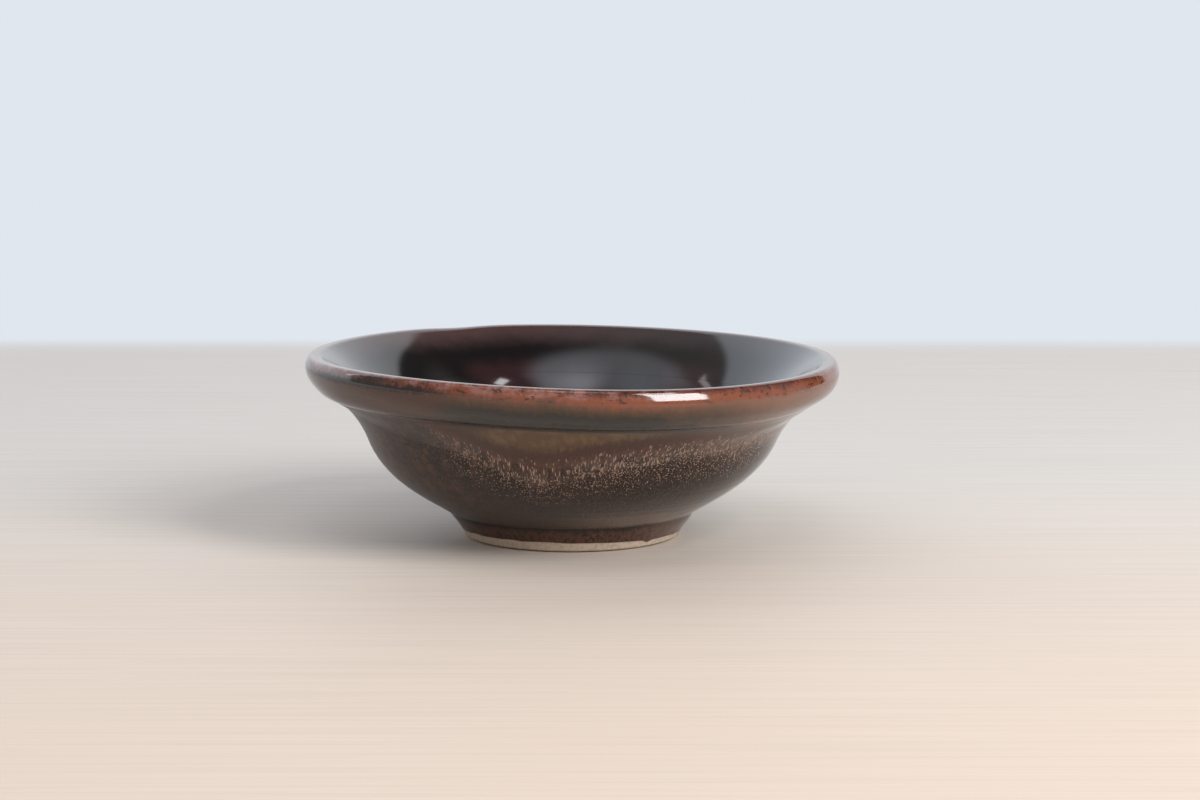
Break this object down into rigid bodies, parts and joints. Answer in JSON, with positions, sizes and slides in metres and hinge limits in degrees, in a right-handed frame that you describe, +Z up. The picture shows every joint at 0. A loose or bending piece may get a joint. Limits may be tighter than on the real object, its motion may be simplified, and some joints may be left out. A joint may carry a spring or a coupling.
{
  "type": "pinch bowl",
  "caption": "Small round stoneware pinch bowl with a rolled, flared lip, a round belly and a turned foot, glazed glossy brown, for salt, spice or sauce.",
  "frame": {"origin": "centre of the foot, on the surface that the bowl stands on", "axes": "+Z up along the axis of the wheel, -Y towards the side that the picture shows, +X to that view's right"},
  "size_m": [0.09, 0.09, 0.0314],
  "materials": {
    "bare_stoneware": "bare fired buff clay, matt",
    "liner_glaze": "glossy near-black brown glaze",
    "wall_glaze": "glossy charcoal brown glaze with fine tan speckle",
    "lip_glaze": "glossy rust brown glaze that breaks to olive and tan where it runs"
  },
  "bodies": {
    "root": {"clay_body": "bare_stoneware", "liner_glaze": "liner_glaze", "wall_glaze": "wall_glaze", "lip_glaze": "lip_glaze"}
  },
  "joints": []
}
